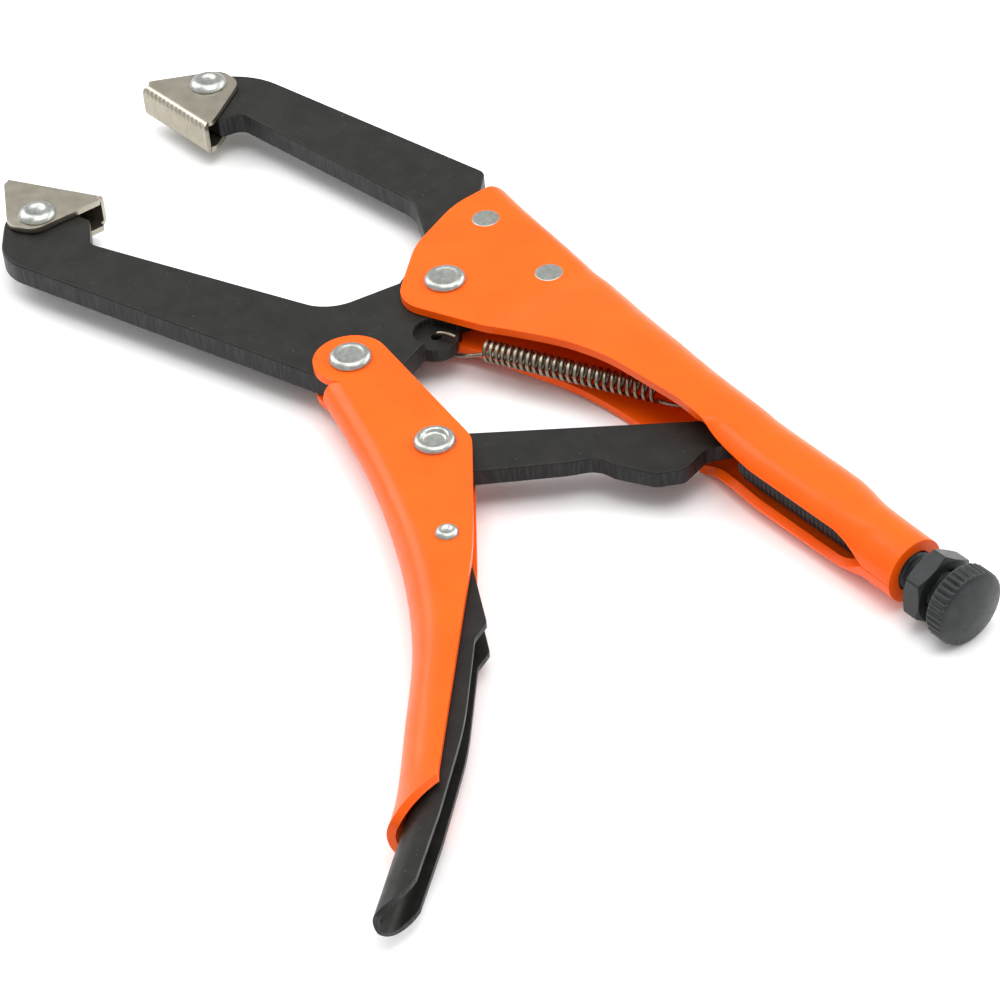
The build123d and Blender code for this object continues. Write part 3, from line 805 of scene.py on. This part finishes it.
shank = [(screw_low[0], 0), (screw_low[0], 3.4), (screw_low[0] + 0.9, 4.6)]
shank += [(x, THREAD_RADIUS) for x in np.arange(screw_low[0] + 1.5, thread_end, THREAD_PITCH / 10)]
shank += [(thread_end + 0.4, 5.0), (knob_start - 2.2, 5.6), (knob_start - 0.4, 6.2), (knob_start + 1.0, 6.2)]
shank += [(knob_start + 1.0, 0)]
knob = [(knob_start, 0), (knob_start, 5.5), (knob_start, knob_radius - 1.0)]
knob += [(knob_start + 0.18, knob_radius - 0.55), (knob_start + 0.5, knob_radius - 0.18)]
knob += [(x, knob_radius - 0.02) for x in np.linspace(knob_start + 0.75, knob_rim - 0.9, 14)]
knob += [(knob_rim - 0.6, knob_radius - 0.08), (knob_rim - 0.3, knob_radius - 0.22)]
knob += [(knob_rim - 0.05, knob_radius - 0.5)]
for t in np.linspace(0, 1, 16):
    # the domed face
    radius = face_radius * (1 - t)
    knob.append((knob_rim + 0.12 + 1.62 * (1 - (radius / face_radius) ** 2), radius))
build(
    "screw_and_knob",
    [
        revolved(shank, 48, screw_line, SCREW_AXIS, thread),
        revolved(knob, KNURLS * 8, screw_line, SCREW_AXIS, knurl),
    ],
    OXIDE,
    "screw",
    "adjusting_screw",
)


def hexagon_nut(start, end, flats, bore, turn):
    """A hexagon nut, its corners turned off by a cone at both faces."""
    cone = flats / 2 - 0.15
    slope = math.tan(math.radians(30))
    angles = np.radians(np.arange(0, 360, 3.0))
    points = []
    for angle in angles:
        to_flat = (math.degrees(angle) - turn) % 60 - 30
        reach = flats / 2 / math.cos(math.radians(to_flat))
        reach = min(reach, flats / 2 / math.cos(math.radians(30)) - 0.12)
        drop = max(0.0, reach - cone) * slope
        profile = [(start + 0.7, bore), (start, bore + 0.7), (start, cone), (start + drop, reach)]
        profile += [(end - drop, reach), (end, cone), (end, bore + 0.7), (end - 0.7, bore)]
        for x, radius in profile:
            points.append((x, screw_y + radius * math.cos(angle), radius * math.sin(angle)))
    return np.array(points), quads(len(angles), 8, wrap_columns=True, wrap_rows=True)


nut_low, nut_high = extent_of("lock_nut")
NUT_FLATS = 16.0
NUT_TURN = 24.8
NUT_BORE = 5.05
nut = build(
    "jam_nut",
    [hexagon_nut(nut_low[0], nut_high[0], NUT_FLATS, NUT_BORE, NUT_TURN)],
    OXIDE,
    "nut_carriage",
    "lock_nut",
)
nut.data.set_sharp_from_angle(angle=math.radians(16))

# ------------------------------------------------------------------ return spring
COIL_START = np.array([23.6, -6.6, 0.0])
COIL_END = np.array([66.0, 13.2, 0.0])
COIL_RADIUS = 2.375
WIRE_RADIUS = 0.52
COIL_TURNS = 25
LUG_HOLE = np.array([12.0, -12.6])


def spline(points, count):
    """A smooth curve through its points."""
    points = np.asarray(points, float)
    steps = np.linalg.norm(np.diff(points, axis=0), axis=1) ** 0.5
    at = np.concatenate([[0], np.cumsum(steps)])
    fine = np.linspace(0, at[-1], count)
    slope = np.gradient(points, at, axis=0)
    i = np.clip(np.searchsorted(at, fine) - 1, 0, len(at) - 2)
    h = (at[i + 1] - at[i])[:, None]
    t = ((fine - at[i]) / (at[i + 1] - at[i]))[:, None]
    start = (1 + 2 * t) * (1 - t) ** 2 * points[i] + t * (1 - t) ** 2 * h * slope[i]
    stop = t * t * (3 - 2 * t) * points[i + 1] + t * t * (t - 1) * h * slope[i + 1]
    return start + stop


def spring_path():
    axis = COIL_END - COIL_START
    length = np.linalg.norm(axis)
    axis = axis / length
    side = np.cross(axis, [0, 0, 1.0])
    turn = np.linspace(0, 2 * math.pi * COIL_TURNS, COIL_TURNS * 22)
    share = turn / turn[-1]
    # the coils open a little towards the rear
    along = length * (0.84 * share + 0.16 * share**2)
    helix = COIL_START + along[:, None] * axis
    helix = helix - COIL_RADIUS * (np.cos(turn)[:, None] * [0, 0, 1.0] + np.sin(turn)[:, None] * side)
    low = -COIL_RADIUS
    hook = [
        (LUG_HOLE[0] + 5.2, LUG_HOLE[1] + 2.2, 2.5),
        (LUG_HOLE[0] + 2.6, LUG_HOLE[1] + 1.1, 2.7),
        (LUG_HOLE[0] + 0.6, LUG_HOLE[1] + 0.2, 2.1),
        (*LUG_HOLE, 0.4),
        (*LUG_HOLE, -2.2),
        (LUG_HOLE[0] + 0.7, LUG_HOLE[1] + 0.3, -3.7),
        (LUG_HOLE[0] + 3.2, LUG_HOLE[1] + 1.6, -3.9),
        (LUG_HOLE[0] + 8.0, LUG_HOLE[1] + 4.1, low - 0.4),
    ]
    tail = [
        (COIL_END[0] + 2.2, COIL_END[1] + 0.6, low),
        (TAB_HOLE[0] - 3.6, TAB_HOLE[1] - 1.3, low - 0.1),
        (TAB_HOLE[0] - 0.8, TAB_HOLE[1] - 0.2, low + 0.4),
        (*TAB_HOLE, low + 1.8),
        (*TAB_HOLE, 0.6),
        (TAB_HOLE[0] - 0.3, TAB_HOLE[1] - 0.1, 2.4),
    ]
    front = spline(np.vstack([hook, helix[2:3]]), 70)
    rear = spline(np.vstack([helix[-1:], tail]), 50)
    return np.vstack([front[:-1], helix[2:], rear[1:]])


spring = build(
    "spring_coil",
    [tube(spring_path(), WIRE_RADIUS)],
    SPRING,
    None,
    "return_spring",
)
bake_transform(spring)

# ------------------------------------------------------------------ swivel pads
PAD_SHEET = 1.5
PAD_HALF = 4.85
PAD_BEND = 2.2
PAD_ROUNDING = 0.05
PAD_FACE = 13.5
PAD_LONG = 15.5
PAD_SHORT = 12.3
PAD_COLUMNS = 84
TOOTH_PITCH = 1.45
TOOTH_WAY = (0.80, 0.60)       # the teeth follow each other in this direction on the face
TOOTH_DEPTH = 0.34
CROSS_TOOTH_DEPTH = 0.12       # the teeth that run the other way are fainter


def pad_grid():
    """A pad about its rivet: x along it, y towards its grip face, z across."""
    crease = PAD_FACE - PAD_BEND
    outline = rounded(
        [
            (-PAD_SHORT * (1 - PAD_ROUNDING), crease, 0),
            (-PAD_SHORT - 0.9, crease - 0.8, 0.6),
            (-2.6, -6.6, 5),
            (5.4, -6.6, 5.2),
            (PAD_LONG - 0.5, crease - 1.6, 4),
            (PAD_LONG * (1 - PAD_ROUNDING), crease, 0),
        ]
    )
    low = even(outline[4:-4], PAD_COLUMNS)
    inset = 1 - PAD_ROUNDING
    high_x = np.linspace(-PAD_SHORT * inset, PAD_LONG * inset, PAD_COLUMNS)
    high = np.column_stack([high_x, np.full(PAD_COLUMNS, crease)])
    left = even(outline[:5][::-1], CHEEK_ROWS)
    right = even(outline[-5:], CHEEK_ROWS)
    plan = coons(low, high, left, right)
    bend_turn = np.linspace(0, math.pi / 2, 9)[1:]
    face_z = np.linspace(PAD_HALF - PAD_BEND, 0, 10)[1:]
    grid = []
    for i, x in enumerate(high_x):
        cheek = np.column_stack([plan[i], np.full(CHEEK_ROWS, PAD_HALF)])
        longer = x * PAD_ROUNDING
        rows = []
        for angle in bend_turn:
            out, over = math.sin(angle), 1 - math.cos(angle)
            rows.append((x + longer * out, crease + PAD_BEND * out, PAD_HALF - PAD_BEND * over))
        rows += [(x + longer, PAD_FACE, z) for z in face_z]
        grid.append(np.vstack([cheek, rows]))
    return mirrored(np.array(grid))


def serrate(shell, count):
    """Diagonal teeth pressed into the outer side of the grip face."""
    points, faces = shell
    outer = points[:count]
    face = np.clip((outer[:, 1] - (PAD_FACE - 1.1)) / 0.6, 0, 1)
    inside = np.clip((outer[:, 0] + PAD_SHORT - 0.5) / 0.5, 0, 1)
    inside = inside * np.clip((PAD_LONG - 0.5 - outer[:, 0]) / 0.5, 0, 1)
    along, across = outer[:, 0] * TOOTH_WAY[0], outer[:, 2] * TOOTH_WAY[1]
    main = np.abs(((along + across) / TOOTH_PITCH) % 1.0 - 0.5) * 2
    cross = np.abs(((along - across) / TOOTH_PITCH) % 1.0 - 0.5) * 2
    outer[:, 1] -= (TOOTH_DEPTH * main + CROSS_TOOTH_DEPTH * cross) * face * inside
    points[:count] = outer
    return points, faces


def finer(grid, factor):
    """The grid with factor times as many columns, so that the teeth are cut cleanly."""
    columns = grid.shape[0]
    at = np.linspace(0, columns - 1, (columns - 1) * factor + 1)
    base = np.minimum(at.astype(int), columns - 2)
    t = (at - base)[:, None, None]
    return grid[base] * (1 - t) + grid[base + 1] * t


def swivel_pad(name, node, rivet_node, body, run_angle):
    grid = finer(pad_grid(), 2)
    points, faces = thick_sheet(grid, np.full(grid.shape[:2], PAD_SHEET))
    points, faces = serrate((points, faces), grid.shape[0] * grid.shape[1])
    turn = math.radians(run_angle)
    run = np.array([math.cos(turn), math.sin(turn), 0])
    towards = np.array([math.sin(turn), -math.cos(turn), 0])
    pivot = place_of(rivet_node)
    placed = pivot + points[:, :1] * run + points[:, 1:2] * towards + points[:, 2:] * np.array([0, 0, 1.0])
    return build(name, [(placed, faces)], NICKEL, body, node, bevel=0.3)


FIXED_PAD_ANGLE = 2.6
MOVABLE_PAD_ANGLE = 209.5
swivel_pad("grip_pad_fixed", "fixed_pad", "fixed_pad_rivet", "fixed_pad_swivel", FIXED_PAD_ANGLE)
swivel_pad("grip_pad_movable", "movable_pad", "movable_pad_rivet", "movable_pad_swivel", MOVABLE_PAD_ANGLE)


# ------------------------------------------------------------------ rivets
def rivet(node, body, pin, seat, style):
    """A riveted pin with two like heads.

    pin is its radius and seat the height where its head starts. style lists (share of the head's
    radius, share of the head's height) from the middle of the head outwards.
    """
    low, high = extent_of(node)
    top = high[2]
    head = (high[0] - low[0]) / 2
    where = np.array([*place_of(node)[:2], 0.0])
    upper = [(seat + share_z * (top - seat), share_r * head) for share_r, share_z in style]
    upper += [(seat, head * 0.985), (seat, pin)]
    profile = upper + [(-z, r) for z, r in upper[::-1]]
    return build(node + "_head", [revolved(profile, 64, where, (0.0, 0.0, 1.0))], ZINC, body, node)


DOMED = [(0, 0.86), (0.3, 0.87), (0.52, 0.875), (0.58, 0.90), (0.64, 0.985), (0.72, 1.0)]
DOMED += [(0.80, 0.94), (0.9, 0.75), (0.96, 0.5), (0.99, 0.28), (1.0, 0.12)]
RINGED = [(0, 0.42), (0.40, 0.42), (0.50, 0.46), (0.555, 0.62), (0.60, 0.88), (0.66, 0.985)]
RINGED += [(0.74, 1.0), (0.83, 0.94), (0.92, 0.74), (0.97, 0.48), (1.0, 0.16)]
DIMPLED = [(0, 0.60), (0.22, 0.62), (0.34, 0.74), (0.44, 0.92), (0.55, 0.995), (0.66, 0.96)]
DIMPLED += [(0.78, 0.80), (0.9, 0.54), (0.97, 0.30), (1.0, 0.12)]
FLUSH = [(0, 0.96), (0.5, 0.97), (0.86, 0.98), (0.95, 0.96), (0.99, 0.9), (1.0, 0.8)]
rivet("main_pivot_rivet", "handle", 4.0, 5.4, DOMED)
rivet("lever_pivot_rivet", "lever", 4.0, 5.2, DOMED)
rivet("link_pivot_rivet", "lever", 4.0, 5.25, RINGED)
rivet("release_pivot_rivet", "lever", 2.0, 7.0, DIMPLED)
rivet("fixed_pad_rivet", "handle", 3.0, 4.9, DIMPLED)
rivet("movable_pad_rivet", "jaw", 3.0, 4.9, DIMPLED)
rivet("fixed_jaw_rivet_front", "handle", 3.5, 4.4, FLUSH)
rivet("fixed_jaw_rivet_rear", "handle", 3.5, 4.4, FLUSH)

# ------------------------------------------------------------------ plates kept from the CAD model
for node in ("fixed_jaw", "movable_jaw", "toggle_link"):
    for material_slot in nodes[node].material_slots:
        material_slot.material = BLACK


# ------------------------------------------------------------------ floor, light and camera
def placement(axes, place):
    """The matrix of something that stands at a place, turned to three axes."""
    return Matrix([[*row, p] for row, p in zip(np.column_stack(axes), place)] + [[0, 0, 0, 1]])


def pale_floor():
    mesh = bpy.data.meshes.new("floor")
    reach = 4.0
    corners = [(-reach, -reach, 0), (reach, -reach, 0), (reach, reach, 0), (-reach, reach, 0)]
    mesh.from_pydata(corners, [], [(0, 1, 2, 3)])
    floor = bpy.data.objects.new("floor", mesh)
    bpy.context.scene.collection.objects.link(floor)
    look = Look("pale floor", (0.93, 0.93, 0.93), 0.8, specular=0.1)
    look.color(look.blend(look.noise(300), (0.92, 0.92, 0.92), (0.945, 0.945, 0.945)))
    mesh.materials.append(look.material)


def softbox(name, place, size, power, target=(0.0, 0.0, 0.0)):
    light = bpy.data.lights.new(name, "AREA")
    light.shape = "RECTANGLE"
    light.size, light.size_y = size
    light.energy = power
    lamp = bpy.data.objects.new(name, light)
    way = np.array(place, float) - np.array(target, float)
    way /= np.linalg.norm(way)
    side = np.cross([0.0, 0.0, 1.0], way)
    side = side / np.linalg.norm(side) if np.linalg.norm(side) > 0.01 else np.array([1.0, 0, 0])
    up = np.cross(way, side)
    lamp.matrix_world = placement([side, up, way], place)
    bpy.context.scene.collection.objects.link(lamp)


def studio():
    world = bpy.data.worlds.new("studio")
    world.use_nodes = True
    sky = world.node_tree.nodes["Background"]
    sky.inputs["Color"].default_value = (1.0, 1.0, 1.0, 1)
    sky.inputs["Strength"].default_value = 0.75
    bpy.context.scene.world = world
    softbox("top box", (0.1, 0.15, 1.1), (1.0, 1.0), 9)
    softbox("side box", (-0.9, -0.2, 0.7), (0.6, 0.9), 6)
    softbox("rear box", (0.3, 1.0, 0.6), (1.2, 0.4), 6)


def camera():
    """The viewing angle: behind the knob end, looking down at 40 degrees, a little rolled."""
    azimuth, elevation, roll = math.radians(55), math.radians(39.7), math.radians(5.5)
    distance = 839.8
    aim = np.array([71.293, -39.673, 0.0]) * MM + PIVOT
    back = np.array(
        [
            math.cos(elevation) * math.sin(azimuth),
            -math.cos(elevation) * math.cos(azimuth),
            math.sin(elevation),
        ]
    )
    right = np.array([math.cos(azimuth), math.sin(azimuth), 0.0])
    up = np.cross(back, right)
    rolled_right = math.cos(roll) * right - math.sin(roll) * up
    rolled_up = math.sin(roll) * right + math.cos(roll) * up
    lens = bpy.data.cameras.new("camera")
    lens.lens = 129.6
    lens.sensor_width = 36.0
    lens.clip_start, lens.clip_end = 0.05, 20
    shot = bpy.data.objects.new("camera", lens)
    place = aim + back * distance * MM
    shot.matrix_world = placement([rolled_right, rolled_up, back], place)
    bpy.context.scene.collection.objects.link(shot)
    bpy.context.scene.camera = shot


pale_floor()
studio()
camera()
bpy.context.scene.view_settings.view_transform = "Standard"
bpy.context.view_layer.update()
